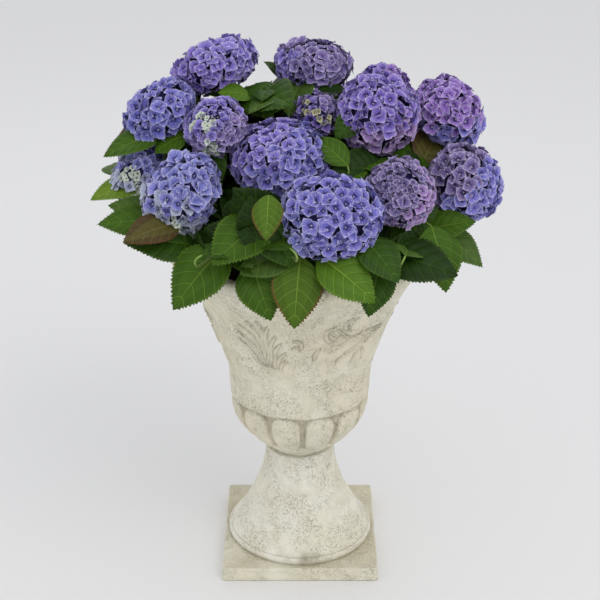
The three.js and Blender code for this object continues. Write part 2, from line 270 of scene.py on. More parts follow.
# How each bloom is coloured, by its name without "bloom_": main family, second family, the way that
# the second one lies, how much of the bloom it takes, and the florets' size.
LOOKS = {
    "front": ("blue", "sky", (-1, 0, -0.6), 0.35, 1.0),
    "middle": ("blue", "lavender", (-1, 0, 1), 0.25, 0.96),
    "right_inner": ("dusk", "pink", (1, 0, -0.8), 0.42, 0.78),
    "left_low": ("sky", "ice", (-0.55, -0.4, -0.8), 0.36, 0.96),
    "far_left": ("ice", "sky", (0.6, -0.2, 1), 0.34, 0.78),
    "left_high": ("azure", "blue", (0.2, 0, 1), 0.3, 0.98),
    "left_inner": ("mauve", "lavender", (-1, 0, 1), 0.4, 0.74),
    "top_left": ("violet", "lavender", (1, 0, 1), 0.4, 0.96),
    "top": ("mauve", "lavender", (-1, 0, -0.5), 0.4, 0.86),
    "small_centre": ("violet", "mauve", (1, 0, 0.4), 0.35, 0.78),
    "right_high": ("violet", "pink", (0.3, 0, -1), 0.45, 0.96),
    "top_right": ("violet", "purple", (1, 0, 0.5), 0.3, 0.8),
    "far_right_high": ("purple", "blue", (0.3, 0, -1), 0.42, 0.92),
    "far_right_low": ("blue", "dusk", (-0.7, 0, 0.8), 0.42, 0.94),
    "back_left": ("blue", "violet", (1, 0, 1), 0.3, 1.08),
    "back_left_low": ("lavender", "blue", (0, 1, -1), 0.4, 1.08),
    "back_middle": ("violet", "mauve", (1, 0, 0), 0.4, 1.08),
    "back": ("blue", "ice", (-1, 0, -1), 0.3, 1.08),
    "back_right_middle": ("mauve", "violet", (0, 1, 1), 0.4, 1.08),
    "back_right_low": ("blue", "lavender", (1, 0, 0), 0.4, 1.08),
    "back_right": ("purple", "pink", (0, 0, 1), 0.35, 1.08),
}
# Clusters of unopened buds: their family and the directions that they show in.
BUDS = {
    "right_inner": ("dusk", ((-0.55, -0.6, 0.6), (0.35, -0.7, 0.6), (0.3, -0.9, -0.35))),
    "left_low": ("mint", ((-0.55, -0.8, -0.35), (-0.25, -0.85, -0.6))),
    "far_left": ("mint", ((0.15, -0.85, -0.5), (-0.3, -0.95, 0.05), (-0.2, -0.8, -0.6))),
    "left_inner": ("mint", ((0.0, -0.9, -0.42), (-0.5, -0.7, 0.5))),
    "small_centre": ("olive", ((-0.05, -0.75, 0.6), (-0.4, -0.75, 0.5), (0.7, -0.65, -0.35))),
    "back": ("mint", ((0.3, 0.9, -0.4),)),
}
BUD_SPREAD = 0.89  # least cosine to the cluster's direction
BUD_SHARE = 0.6
BUDS_TOGETHER, BUDS_APART = 5, 8 * MM
BUD_SIZES = 0.36, 0.50
FLORET_REACH = 13.4 * MM
FLORET_SPACING, PACKING = 17.2 * MM, 0.87
FLORET_SIZES = 0.84, 1.14
FLORET_TILT = 0.46
SHADE_DOME_SHARE = 0.82  # size of the dark dome of painted shade inside a bloom
GOLDEN_ANGLE = pi * (3 - sqrt(5))
LEAN_CENTRE_RISE = 0.54  # height that the blooms lean away from
BLOOM_LOWEST = -0.86  # florets stop this far down the unit dome


def petal_materials():
    made = {"eye": plain("eye", srgb(*EYE), 0.55, 0.3), "shade_dome": plain("shade_dome", srgb(*SHADE_DOME_COLOUR), 0.9, 0.1)}
    for family, tone in PETALS.items():
        for part, share in PARTS.items():
            name = f"petal_{family}_{part}"
            toward = PALE_HIGHLIGHT if share > 0 else SHADE_INK
            colour = [x + (y - x) * abs(share) for x, y in zip(tone, toward)]
            made[name] = plain(name, srgb(*colour), 0.6, 0.25, 0.2)
    return made


def sepal_grid(cup, curl, width):
    """A pointed sepal along +X, one unit long: points, quads and the tone of each quad."""
    along = np.array([0.05, 0.30, 0.56, 0.82, 1.05])
    across = np.array([-1, -0.82, -0.3, 0.3, 0.82, 1])
    half = width * np.array([0.18, 0.74, 1.0, 0.62, 0.04])
    x = along[:, None] * np.ones((1, 6))
    x[3] -= 0.04 * np.abs(across) ** 2
    y = half[:, None] * across[None, :]
    z = cup * x ** 0.85 + 0.50 * y ** 2 - curl * np.maximum(x - 0.60, 0) ** 2 * 3
    z -= 0.05 * (np.abs(across) < 0.5)[None, :] * x
    z += 0.035 * np.sin(9 * x + 2) * across[None, :]
    points = np.stack([x, y, z], -1).reshape(-1, 3)
    quads = grid_quads(5, 6)
    # Tones by part: 0 rim and tip and 1 lighter band, both partly painted highlight; 2 middle; 3 throat at
    # the foot, painted shade.
    tones = np.full((4, 5), 2)
    tones[0] = 3
    tones[2] = 1
    tones[1:, 0] = tones[1:, 4] = tones[3] = 0
    return points, quads, tones.ravel()


def floret_template(kind):
    """A floret of four cupped sepals, two over and two under, with a small eye."""
    dice = random.Random(100 + kind)
    heap = Heap()
    for k in range(4):
        cup = 0.60 + dice.uniform(-0.22, 0.22)
        p, q, t = sepal_grid(cup, 0.30 + dice.uniform(-0.3, 0.5), 0.57 + dice.uniform(-0.06, 0.06))
        p = p * (1 + dice.uniform(-0.10, 0.10))
        p[:, 2] += k % 2 * 0.05
        p[:, 2] += dice.uniform(-0.20, 0.20) * p[:, 1] * p[:, 0]
        angle = k * pi / 2 + dice.uniform(-0.12, 0.12)
        c, s = cos(angle), sin(angle)
        heap.add(p @ np.array([[c, s, 0], [-s, c, 0], [0, 0, 1]]), q, t)
    eye = [[r * cos(a), r * sin(a), z] for r, z in ((0.09, 0.08), (0.05, 0.17)) for a in range(6)]
    quads = np.concatenate([grid_quads(2, 6, closed=True), [[6, 7, 8, 9], [6, 9, 10, 11]]])
    heap.add(np.array(eye), quads, np.full(8, 4))
    return heap.joined()


FLORETS = [floret_template(k) for k in range(6)]


def corners(node):
    return np.array(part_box(node))


def cad_points(node):
    return np.array([v.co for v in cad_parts[node].data.vertices])


def middle(node):
    return corners(node).sum(0) / 2


def lean_frame(centre):
    """Columns: level direction across the lean, direction up the slope, and the lean itself."""
    lean = unit(np.asarray(centre) - [0, 0, LEAN_CENTRE_RISE])
    across = unit(np.cross(UP, lean))
    return np.stack([across, np.cross(lean, across), lean], 1)


class Bloom:
    """The dome that a CAD bloom stands for: centre, lean frame and half sizes."""

    def __init__(self, node):
        self.node = node
        self.centre = middle(node)
        self.axes = lean_frame(self.centre)
        points = cad_points(node)
        local = (points - self.centre) @ self.axes
        top, bottom = local[:, 2].max(), local[:, 2].min()
        self.centre = self.centre + self.axes[:, 2] * (top + bottom) / 2 * 0.6
        local = (points - self.centre) @ self.axes
        self.half = np.array([np.abs(local[:, 0]).max(), np.abs(local[:, 1]).max(), local[:, 2].max()])
        self.under = -local[:, 2].min()

    def half_at(self, local):
        """The half sizes that hold at local points: under for those in the lower part."""
        return np.where(local[:, 2:3] < 0, [[*self.half[:2], self.under]], [self.half])

    def inside(self, points, scale):
        local = (points - self.centre) @ self.axes
        return ((local / (self.half_at(local) * scale)) ** 2).sum(1) < 1

    @property
    def foot(self):
        return self.centre - self.axes[:, 2] * self.under * 0.75


def any_way(dice):
    return np.array([dice.uniform(-1, 1) for _ in range(3)])


def add_floret(heap, place, facing, reach, family, dice):
    side = unit(np.cross(facing, any_way(dice)))
    turn = np.stack([side, np.cross(facing, side), facing], 1) * reach
    points, quads, tones = FLORETS[dice.randrange(len(FLORETS))]
    slots = np.array([heap.slot(f"petal_{family}_{part}") for part in PARTS] + [heap.slot("eye")])
    heap.add(points @ turn.T + place, quads, slots[tones])


def bloom_piece(bloom, materials):
    """The florets of one bloom, spread evenly over its dome, and a dark dome of painted shade behind them."""
    look = bloom.node.removeprefix("bloom_")
    main, second, second_way, share, scale = LOOKS[look]
    bud, bud_ways = BUDS.get(look, (None, ()))
    dice = random.Random(bloom.node)
    heap = Heap()
    half = bloom.half - 5 * MM
    under = np.array([half[0], half[1], bloom.under - 2 * MM])
    mean = (half[0] * half[1] * half[2]) ** (1 / 3)
    total = int(4 * pi * mean ** 2 / ((FLORET_SPACING * scale) ** 2 * PACKING))
    second_way = unit(second_way)
    shift = dice.uniform(0, 6.28)
    for k in range(total):
        z = 1 - 2 * (k + 0.5) / total
        if z < BLOOM_LOWEST:
            break
        around = shift + GOLDEN_ANGLE * k + dice.uniform(-0.12, 0.12)
        ring = sqrt(1 - z * z)
        ball = np.array([ring * cos(around), ring * sin(around), z])
        size = half if z >= 0 else under
        normal = unit(ball / size)
        place = bloom.centre + bloom.axes @ (ball * size)
        facing = bloom.axes @ normal
        lift = dice.uniform(-7.5, -1.5) * MM
        if any(unit(w) @ facing > BUD_SPREAD for w in bud_ways) and dice.random() < BUD_SHARE:
            for _ in range(BUDS_TOGETHER):
                off = any_way(dice) * BUDS_APART * scale
                add_floret(heap, place + facing * lift + off, unit(facing + off / (1.5 * BUDS_APART)),
                           FLORET_REACH * dice.uniform(*BUD_SIZES), bud, dice)
            continue
        tilted = unit(facing + FLORET_TILT * any_way(dice))
        toward = facing @ second_way * 0.5 + 0.5 + dice.uniform(-0.14, 0.14)
        family = second if toward > 1 - share else main
        reach = FLORET_REACH * scale * dice.uniform(*FLORET_SIZES)
        add_floret(heap, place + facing * lift, tilted, reach, family, dice)
    add_shade_dome(heap, bloom)
    piece = heap.piece(bloom.node + "_florets", materials)
    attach(piece, "root")
    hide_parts(bloom.node)


def add_shade_dome(heap, bloom):
    """A plain dark dome of painted shade, so that nothing shows between the florets and the gaps look shaded.
    """
    rows, columns = 9, 16
    turn, lift = np.meshgrid(full_turn(columns), np.linspace(-0.98, 0.98, rows))
    ring = np.sqrt(1 - lift ** 2)
    ball = np.stack([ring * np.cos(turn), ring * np.sin(turn), lift], -1).reshape(-1, 3)
    size = bloom.half_at(ball) * SHADE_DOME_SHARE
    heap.add_round(bloom.centre + (ball * size) @ bloom.axes.T, rows, columns, "shade_dome")


# ---- leaves

LEAF_PARTS = "inner", "outer", "teeth", "vein"
# Display colours of those parts, for each tone of leaf.
LEAVES = {
    "mid": ((62, 94, 18), (56, 86, 16), (71, 99, 26), (96, 126, 39)),
    "deep": ((48, 78, 15), (42, 69, 14), (56, 82, 20), (75, 105, 29)),
    "bright": ((79, 113, 26), (73, 107, 23), (87, 118, 33), (116, 147, 48)),
    "lime": ((102, 130, 37), (94, 122, 33), (106, 132, 44), (135, 158, 62)),
    "dull": ((73, 99, 39), (67, 92, 36), (79, 105, 45), (102, 130, 57)),
    "dark": ((33, 57, 11), (29, 50, 10), (40, 61, 16), (52, 80, 21)),
    "bronze": ((83, 77, 36), (73, 59, 33), (85, 57, 34), (108, 105, 48)),
    "rimmed": ((75, 103, 25), (69, 94, 23), (96, 80, 34), (110, 139, 48)),
}
WOODS = [
    ("petiole", (128, 158, 72), 0.5, 0.4), ("twig", (108, 128, 62), 0.6, 0.3),
    ("wood", (124, 112, 78), 0.8, 0.2), ("wood_dark", (84, 74, 50), 0.85, 0.2),
]


def leaf_materials():
    made = {}
    for family, tones in LEAVES.items():
        for part, tone in zip(LEAF_PARTS, tones):
            name = f"leaf_{family}_{part}"
            made[name] = plain(name, srgb(*tone), 0.50, 0.15)
    for name, tone, roughness, specular in WOODS:
        made[name] = plain(name, srgb(*tone), roughness, specular)
    return made


FINE_LEAF = (7, 6)  # pairs of side veins, rows of quads to each
PLAIN_LEAF = (6, 4)
LEAF_ACROSS = np.array([0, 0.03, 0.30, 0.62, 0.93, 1.0])


def leaf_shape(length, width, bend, fold, detail, dice):
    """A toothed, veined leaf from its foot at the origin along +X, face up: points and quads."""
    veins, steps = detail
    rows = veins * steps + 1
    step = np.arange(rows)
    phase = (step % steps) / steps
    vein_step = 0.75  # a row that starts at a vein is narrower than the others by this much of a row
    uneven = np.where(phase > 0, (phase * steps - vein_step) / (steps - vein_step), 0)
    r = (step // steps + uneven) / veins
    r[-1] = 1
    vein_foot = r ** 1.45
    edge_x = r ** 0.72
    edge_y = np.sin(np.pi * edge_x ** 0.82) ** 0.88 * (1 - 0.16 * edge_x ** 3)
    edge_y[0] = edge_y[-1] = 0
    tooth = np.where(step % 2 == 1, 1.0, -0.6) * 0.013
    tooth[:2] = tooth[-2:] = 0
    sides = []
    wave = [dice.uniform(0, 6.28) for _ in range(2)]
    for hand in (-1, 1):
        t = LEAF_ACROSS[None, ::hand]
        foot = vein_foot[:, None]
        x = foot + (edge_x[:, None] - foot) * (0.50 * t + 0.50 * t ** 2)
        notch = tooth[:, None] * (t > 0.95)
        x = x + notch * 0.9
        y = (edge_y[:, None] * (width / length / 2) + notch) * t
        crown = np.sin(np.pi * np.clip(uneven, 0, 1))[:, None] * np.sin(np.pi * t) ** 0.7
        z = 0.013 * crown + fold * y - 0.10 * t ** 2 * y
        z = z + 0.014 * np.sin(7 * x + wave[(hand + 1) // 2]) * t ** 2
        sides.append(np.stack([x, hand * y, z], -1))
    grid = np.concatenate([sides[0][:, :-1], sides[1]], 1)
    x, y, z = grid[..., 0], grid[..., 1], grid[..., 2]
    angle = bend * x
    ahead, down = np.sin(angle), np.cos(angle)
    out = np.stack([ahead / bend + z * ahead, y, (down - 1) / bend + z * down], -1) * length
    return out.reshape(-1, 3), grid_quads(rows, grid.shape[1])


def leaf_tones(heap, family, detail):
    """The slot of each quad: pale veins, and a blade that changes from the midrib to the teeth."""
    veins, steps = detail
    rows = veins * steps
    inner, outer, teeth, vein = (heap.slot(f"leaf_{family}_{part}") for part in LEAF_PARTS)
    right = [vein, inner, inner, outer, teeth]
    tones = np.tile(right[::-1] + right, (rows, 1))
    tones[steps::steps, 1:-1] = vein
    return tones.ravel()


def leaf_frame(heading, face):
    """Columns: along the leaf, across it, and its upper face."""
    ahead = unit(heading)
    face = np.asarray(face, float)
    face = unit(face - ahead * (face @ ahead))
    return np.stack([ahead, np.cross(face, ahead), face], 1)


def add_leaf(heap, foot, heading, face, length, width, bend, fold, family, dice, detail=FINE_LEAF):
    points, quads = leaf_shape(length, width, bend, fold, detail, dice)
    heap.add(foot + points @ leaf_frame(heading, face).T, quads, leaf_tones(heap, family, detail))


MASSES = sorted(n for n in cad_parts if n.startswith("foliage_"))
MASS_CENTRES = {n: middle(n) for n in MASSES}


def owner(point):
    return min(MASSES, key=lambda n: np.linalg.norm(MASS_CENTRES[n] - point))


# Leaves that set the outline and the front: azimuth, reach and height of the tip, heading and pitch of
# the blade, length, width, and tone, in degrees and mm.
SET_LEAVES = [
    (184, 305, 785, 215, -15, 90, 52, "bronze"),
    (191, 325, 775, 195, -15, 100, 60, "mid"),
    (190, 350, 700, 190, -15, 95, 56, "lime"),
    (198, 325, 705, 180, 10, 95, 56, "dull"),
    (202, 350, 685, 185, 0, 105, 62, "mid"),
    (219, 350, 690, 215, -5, 100, 66, "bronze"),
    (216, 340, 680, 200, 10, 120, 78, "deep"),
    (232, 320, 590, 215, -40, 130, 96, "mid"),
    (243, 295, 670, 220, -25, 120, 88, "mid"),
    (260, 288, 718, 266, -48, 74, 48, "rimmed"),
    (268, 240, 655, 330, -50, 100, 70, "deep"),
    (249, 260, 645, 210, -15, 90, 66, "dull"),
    (268, 272, 566, 260, -60, 114, 80, "rimmed"),
    (260, 255, 570, 305, -55, 100, 74, "mid"),
    (293, 295, 610, 330, -30, 116, 80, "bright"),
    (293, 270, 575, 250, -55, 95, 64, "deep"),
    (301, 295, 635, 315, -35, 95, 66, "deep"),
    (318, 330, 635, 340, -10, 125, 88, "dark"),
    (319, 305, 595, 290, -55, 112, 80, "mid"),
    (336, 325, 610, 335, -30, 100, 66, "dull"),
    (335, 310, 690, 350, 15, 90, 58, "mid"),
    (12, 240, 790, 65, 25, 100, 66, "bronze"),
    (289, 65, 808, 140, 25, 80, 46, "mid"),
    (295, 120, 770, 205, 10, 95, 74, "dark"),
]


# Leaves tucked between the blooms: a bloom, the way from its centre to the tip in bloom radii,
# then heading to tone as above.
TUCKED_LEAVES = [
    ("left_inner", (0, 0.9, 0.8), 200, 12, 60, 50, "bright"),
    ("left_inner", (-0.8, 1.8, 0.6), 190, 5, 70, 56, "deep"),
    ("left_inner", (0.1, -0.9, -1.6), 300, -50, 60, 52, "deep"),
    ("left_inner", (-1.9, -0.2, -0.8), 200, -25, 60, 56, "mid"),
    ("middle", (-0.8, 0.8, 0.9), 235, -25, 75, 55, "deep"),
    ("middle", (0.2, 0.9, 0.7), 250, -35, 85, 65, "dull"),
    ("middle", (-0.4, 0.6, 0.8), 230, -15, 45, 40, "mid"),
    ("small_centre", (0, 0.4, 0.8), 205, 0, 50, 40, "dark"),
    ("small_centre", (0.7, -1.5, -0.6), 205, -40, 60, 45, "deep"),
    ("top", (-1.5, 0.4, 0), 170, 40, 45, 35, "deep"),
]


def polar(azimuth, reach, height):
    a = radians(azimuth)
    return np.array([reach * cos(a), reach * sin(a), height]) * MM


STALK_DROP = 45 * MM  # how far below its leaf a stalk starts


def set_leaf(heaps, stalks, stems, tip, row, dice):
    """A leaf with its tip at a point, on a stalk from the stems."""
    heading, pitch, length, width, family = row
    h, p = radians(heading), radians(pitch)
    ahead = np.array([cos(h) * cos(p), sin(h) * cos(p), sin(p)])  # foot to tip
    foot = tip - ahead * length * MM
    outside = unit([*tip[:2], 0])
    face = UP * 0.85 + outside * 0.45 + np.array([0, -0.42 if tip[1] < SHOW_SIDE else 0, 0])
    bend = dice.uniform(0.3, 0.7)
    lift = unit(ahead + 0.5 * bend * leaf_frame(ahead, face)[:, 2])
    add_leaf(heaps[owner(tip * 0.9)], foot, lift, face, length * MM, width * MM, bend, 0.16, family, dice)
    root = foot - ahead * 16 * MM - UP * 4 * MM
    wanted = foot * [0.75, 0.75, 1] - UP * STALK_DROP
    start = stems[np.argmin(np.linalg.norm(stems - wanted, axis=1))]
    path = bezier(start, start + UP * 15 * MM, root - UP * 8 * MM, foot + ahead * 2 * MM, 9)
    tube(stalks, path, (2.4, 1.4), "petiole")


RIM_HEIGHT, RIM_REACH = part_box("urn_bowl")[1].z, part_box("urn_bowl")[1].x
FILL_FRONT = 0.02  # in front of this, filling leaves keep to these limits
FILL_REACH = 0.285
FILL_HANG, FILL_LOWEST = 0.150, 0.655
SHOW_FROM = unit([0, -0.91, 0.42])  # the side that the plant shows
SHOW_SIDE = 0.115  # blooms in front of this stay uncovered
LEAF_TRIES = 14
PETIOLE_SHARE = 0.24  # stalk length for each metre of blade


def leaf_is_clear(blooms, foot, ahead, length, width):
    """True where a leaf misses the blooms and the urn and keeps to the limits."""
    along = np.array([0.35, 0.6, 0.8, 1.0])[:, None] * length
    across = np.cross(ahead, UP)
    points = np.concatenate([foot + along * ahead + across * width * s for s in (-0.35, 0, 0.35)])
    low, high = np.array(CAD_BOX)
    height = points[:, 2]
    reach = np.hypot(points[:, 0], points[:, 1])
    bad = ((points < low + 4 * MM) | (points > high - 4 * MM)).any(1)
    bad |= (reach < RIM_REACH + 8 * MM) & (height < RIM_HEIGHT + 8 * MM)
    too_far = (reach > FILL_REACH) | ((reach > FILL_HANG) & (height < FILL_LOWEST))
    bad |= (points[:, 1] < FILL_FRONT) & too_far
    return not bad.any() and not any(
        b.inside(points, 0.93).any() or b.centre[1] < SHOW_SIDE and hides(points, b) for b in blooms
    )


def hides(points, bloom):
    """True where any point lies before a bloom on the show side."""
    off = points - bloom.centre
    before = off @ SHOW_FROM
    aside = np.linalg.norm(off - before[:, None] * SHOW_FROM, axis=1)
    return ((before > 0) & (aside < bloom.half.mean() * 1.08)).any()


def leaf_pair(heaps, stalks, blooms, node, along, turn, size, tones, dice, detail):
    """An opposite pair of leaves on a stem: node is the point, along the stem's direction."""
    side = unit(np.cross(along, [0.2, 0.1, 1.0]))
    over = np.cross(along, side)
    for hand in (0, pi):
        for attempt in range(LEAF_TRIES):
            angle = turn + hand + dice.uniform(-0.35, 0.35) * (1 + attempt / 4)
            spread = side * cos(angle) + over * sin(angle)
            rise = dice.uniform(-0.25, 0.45)
            ahead = unit(spread + along * rise)
            length = size * dice.uniform(0.85, 1.12) * (1 - attempt * 0.022)
            width = length * dice.uniform(0.66, 0.76)
            foot = node + unit(spread + along * 0.8) * PETIOLE_SHARE * length
            if leaf_is_clear(blooms, foot, ahead, length, width):
                break
        else:
            continue
        family = dice.choice(tones)
        face = along + UP * 0.5 + dice.uniform(-0.2, 0.2) * side
        add_leaf(heaps[owner(foot + ahead * length * 0.6)], foot, ahead, face, length, width,
                 dice.uniform(0.4, 1.0), dice.uniform(0.08, 0.22), family, dice, detail)
        path = bezier(node, node + along * 8 * MM, foot - ahead * 8 * MM, foot + ahead * 2 * MM, 6)
        tube(stalks, path, (2.2, 1.5), "petiole")


# ---- stems

CANE_ROWS, CANE_KNOTS, KNOT_SWELL = 40, 4, 0.28
CANE_RADIUS, CANE_TAPER = 4.6, 1.2  # mm, at the bottom and how much less at the top


def cane_ends():
    """The bottom and top of each cane of the CAD model."""
    ends = {}
    for name in sorted(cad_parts):
        if name.startswith("cane_"):
            co = cad_points(name)
            top = co[co[:, 2] > co[:, 2].max() - 6 * MM].mean(0)
            bottom = co[co[:, 2] < co[:, 2].min() + 1 * MM].mean(0)
            ends[name] = (bottom, top)
    return ends


def cane_path(bottom, top, count):
    rise = np.array([bottom[0], bottom[1], bottom[2] + 50 * MM])
    return bezier(bottom, (bottom + 2 * rise) / 3, (top + 2 * rise) / 3, top, count)


def make_canes(materials):
    heap = Heap()
    along = np.linspace(0, 1, CANE_ROWS)
    swell = 1 + KNOT_SWELL * np.exp(-((along * CANE_KNOTS % 1 - 0.5) / 0.07) ** 2)
    radii = (CANE_RADIUS - CANE_TAPER * along) * MM * swell
    for index, (bottom, top) in enumerate(cane_ends().values()):
        tube(heap, cane_path(bottom, top, CANE_ROWS), radii, "wood", 12, index, 0.07)
    piece = heap.piece("canes_bark", materials)
    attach(piece, "root")
    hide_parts(*cane_ends())


def make_main_stem(materials):
    """A short knuckled crown of wood from which the canes rise."""
    low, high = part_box("main_stem")
    rows, sides = 16, 40
    turn, rise = np.meshgrid(full_turn(sides), np.linspace(0, 1, rows))
    ring = np.stack([np.cos(turn), np.sin(turn)], -1)
    lump = fuzz_field(np.dstack([3 * ring, 5 * rise]).reshape(-1, 3), 1).reshape(rows, sides)
    base = (high.x - low.x) / 2 * (1 - 0.22 * np.minimum(rise * 3, 1))
    reach = base * (0.93 + 0.07 * np.sin(8 * turn + 2 * rise) + 0.05 * lump)
    wall = np.dstack([ring * reach[..., None], low.z + (high.z - low.z) * rise])
    top = [wall[-1] * [k, k, 1] - UP * 0.5 * MM * (1 - k) for k in (0.7, 0.35, 0.02)]
    heap = Heap()
    heap.add_round(np.concatenate([*wall, *top]), rows + 3, sides, "wood_dark")
    piece = heap.piece("main_stem_bark", materials)
    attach(piece, "root")
    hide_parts("main_stem")


def spot_on(path, back):
    """The point and direction at a distance back from a path's end, or None past its start."""
    travelled = np.concatenate([[0], np.cumsum(np.linalg.norm(np.diff(path, axis=0), axis=1))])
    at = travelled[-1] - back
    if at < 5 * MM:
        return None
    ends = (at, at + 4 * MM)
    node, later = (np.array([np.interp(d, travelled, path[:, i]) for i in range(3)]) for d in ends)
    return node, unit(later - node)


STEM_TONES = (["mid", "deep", "bright", "mid", "deep"], ["deep", "mid", "dark"],
              ["dark", "deep"], ["dark", "deep"])
STEM_LEAVES = (0.088, 0.108, 0.116, 0.110)  # leaf length at each joint below a bloom
SHOOT_TONES = (["mid", "deep", "dull"], ["deep", "dark"], ["dark"])
SHOOT_LEAVES = (0.090, 0.105, 0.100)
SHOOTS_PER_MASS, SHOOT_OUT = 4, 0.36  # the way out from the middle is a share of the mass
JOINT_GAP, SHOOT_GAP = 26 * MM, 24 * MM
SKIRT_LEAVES = 13  # over the rim round the sides and back
SKIRT_TONES = ["mid", "deep", "dull", "bright", "deep"]


def grow(blooms, leaf_mats):
    """Stems to the blooms, shoots into the masses, and all the leaves."""
    dice = random.Random(7)
    heaps = {name: Heap() for name in MASSES}
    stalks = Heap()

    def leaf_pairs(path, backs, tones, sizes, detail):
        """Leaf pairs at these distances back from a path's end, each a quarter turn from the last."""
        turn = dice.uniform(0, pi)
        for k, back in enumerate(backs):
            spot = spot_on(path, back)
            if spot is None:
                break
            leaf_pair(heaps, stalks, blooms, *spot, turn + k * pi / 2, sizes[k], tones[k], dice, detail)

    tips = [top for _, top in cane_ends().values()]
    stems = [cane_path(bottom, top, 12)[4:] for bottom, top in cane_ends().values()]
    for bloom in blooms:
        start = min(tips, key=lambda t: np.linalg.norm((t - bloom.foot) * [1, 1, 0.3]))
        reach = np.linalg.norm(bloom.foot - start)
        path = bezier(start - UP * 3 * MM, start + UP * reach * 0.3,
                      bloom.foot - bloom.axes[:, 2] * reach * 0.45, bloom.centre, 24)
        tube(stalks, path, (3.6, 2.6), "twig", 8, 1.0, 0.05)
        stems.append(path[:16])
        first = np.linalg.norm(bloom.centre - bloom.foot) + 8 * MM
        backs = [first + k * JOINT_GAP * (1 + 0.3 * k) for k in range(len(STEM_LEAVES))]
        leaf_pairs(path, backs, STEM_TONES, STEM_LEAVES, FINE_LEAF)
    stems = np.concatenate(stems)
    for name in MASSES:
        low, high = corners(name)
        for shoot in range(SHOOTS_PER_MASS):
            around = 2 * pi * shoot / SHOOTS_PER_MASS + dice.uniform(-0.5, 0.5)
            share = [SHOOT_OUT * cos(around), SHOOT_OUT * sin(around), dice.uniform(-0.05, 0.30)]
            end = (low + high) / 2 + np.array(share) * (high - low)
            if any(b.inside(end[None], 1.0).any() for b in blooms):
                continue
            start = stems[np.argmin(np.linalg.norm((stems - end * [0.6, 0.6, 0.94]), axis=1))]
            reach = np.linalg.norm(end - start)
            path = bezier(start, start + UP * reach * 0.35, end - UP * reach * 0.2, end, 14)
            tube(stalks, path, (2.8, 2.0), "twig")
            backs = [k * SHOOT_GAP + 1 * MM for k in range(len(SHOOT_LEAVES))]
            leaf_pairs(path, backs, SHOOT_TONES, SHOOT_LEAVES, PLAIN_LEAF)
    for row in SET_LEAVES:
        set_leaf(heaps, stalks, stems, polar(*row[:3]), row[3:], dice)
    domes = {bloom.node: bloom for bloom in blooms}
    for node, way, *row in TUCKED_LEAVES:
        dome = domes["bloom_" + node]
        tip = dome.centre + np.array(way) * dome.half.mean()
        set_leaf(heaps, stalks, stems, tip, row, dice)
    for azimuth in np.linspace(6, 174, SKIRT_LEAVES):
        length = dice.uniform(96, 118)
        tip = polar(azimuth, dice.uniform(268, 290), dice.uniform(636, 664))
        row = (azimuth + dice.uniform(-28, 28), dice.uniform(-42, -20), length, length * 0.7,
               dice.choice(SKIRT_TONES))
        set_leaf(heaps, stalks, stems, tip, row, dice)
    for name, heap in heaps.items():
        piece = heap.piece(name + "_leaves", leaf_mats)
        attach(piece, "root")
        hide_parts(name)
    twigs = stalks.piece("twigs_and_stalks", leaf_mats)
    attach(twigs, "root")


# ---- the urn

CUP_FOOT, CUP_TOP = 0.216, 0.322
CUP_FOOT_REACH, CUP_REACH = 0.058, 0.1235
BAND_TOP, BAND_REACH = 0.385, 0.127
WALL_FOOT, WALL_FOOT_REACH = 0.395, 0.132
LIP_UNDERSIDE = 0.592
NECK_REACH = 0.0615
FOOT_REACH, FOOT_ROLL = 0.132, 0.0065
NECK_FOOT, NECK_TOP = 0.055, 0.210
NECK_FOOT_REACH = 0.118
GADROONS = 12
GADROON_TURN = radians(2.5)
GADROON_FILL = 0.42  # half width of a tongue, as a share of their pitch
GADROON_MIDDLE, GADROON_HALF = 0.279, 0.039
GADROON_DEPTH, GADROON_CROWN = 0.0078, 0.0022


def cup_reach(z):
    rise = np.clip((z - CUP_FOOT) / (CUP_TOP - CUP_FOOT), 0, 1)
    return CUP_FOOT_REACH + (CUP_REACH - CUP_FOOT_REACH) * (1 - (1 - rise) ** 2.4)


def wall_reach(z):
    rise = z - WALL_FOOT
    return WALL_FOOT_REACH + 0.33 * rise + 0.029 * np.maximum(rise / (LIP_UNDERSIDE - WALL_FOOT), 0) ** 4


def smooth(low, high, value):
    t = np.clip((value - low) / (high - low), 0, 1)
    return t * t * (3 - 2 * t)


def arc(reach, height, across, up, start, end, count):
    """Points of a rounded edge round (reach, height), between two angles in degrees."""
    angles = np.radians(np.linspace(start, end, count))
    return [(reach + across * cos(a), height + up * sin(a)) for a in angles]


BEAD, BEAD_UP = 0.0042, 0.0046  # the ring under the cup
RIM_ROLL = 0.0105, 0.0095
EARTH_WALL = 0.021  # thickness of the wall at the soil


def bowl_profile():
    """(reach, height) pairs from under the bowl, up its outside, over the rim and down inside."""
    low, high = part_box("urn_bowl")
    rim = high.x - 0.0004
    rows = [(0.03, low.z + 0.0004), (0.050, low.z)]
    rows += arc(0.0545, low.z + BEAD_UP, BEAD, BEAD_UP, -90, 60, 8)
    rows += [(cup_reach(z), z) for z in np.linspace(0.2215, CUP_TOP, 42)]
    for z in np.linspace(0.326, 0.394, 12):
        step = smooth(BAND_TOP - 0.003, WALL_FOOT, z)
        band = CUP_REACH + (BAND_REACH - CUP_REACH) * (z - CUP_TOP) / (BAND_TOP - CUP_TOP)
        rows.append((band * (1 - step) + WALL_FOOT_REACH * step, z))
    for start, end, count in ((0.398, 0.418, 5), (0.420, 0.542, 60), (0.548, LIP_UNDERSIDE, 8)):
        rows += [(wall_reach(z), z) for z in np.linspace(start, end, count)]
    rows += arc(rim - RIM_ROLL[0], high.z - RIM_ROLL[1], *RIM_ROLL, -18, 150, 11)
    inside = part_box("soil")[1].z - 0.008
    for t in np.linspace(0.1, 1, 8):
        z = high.z - 0.012 - t * (high.z - 0.012 - inside)
        rows.append((wall_reach(z) - EARTH_WALL, z))
    return np.array(rows)


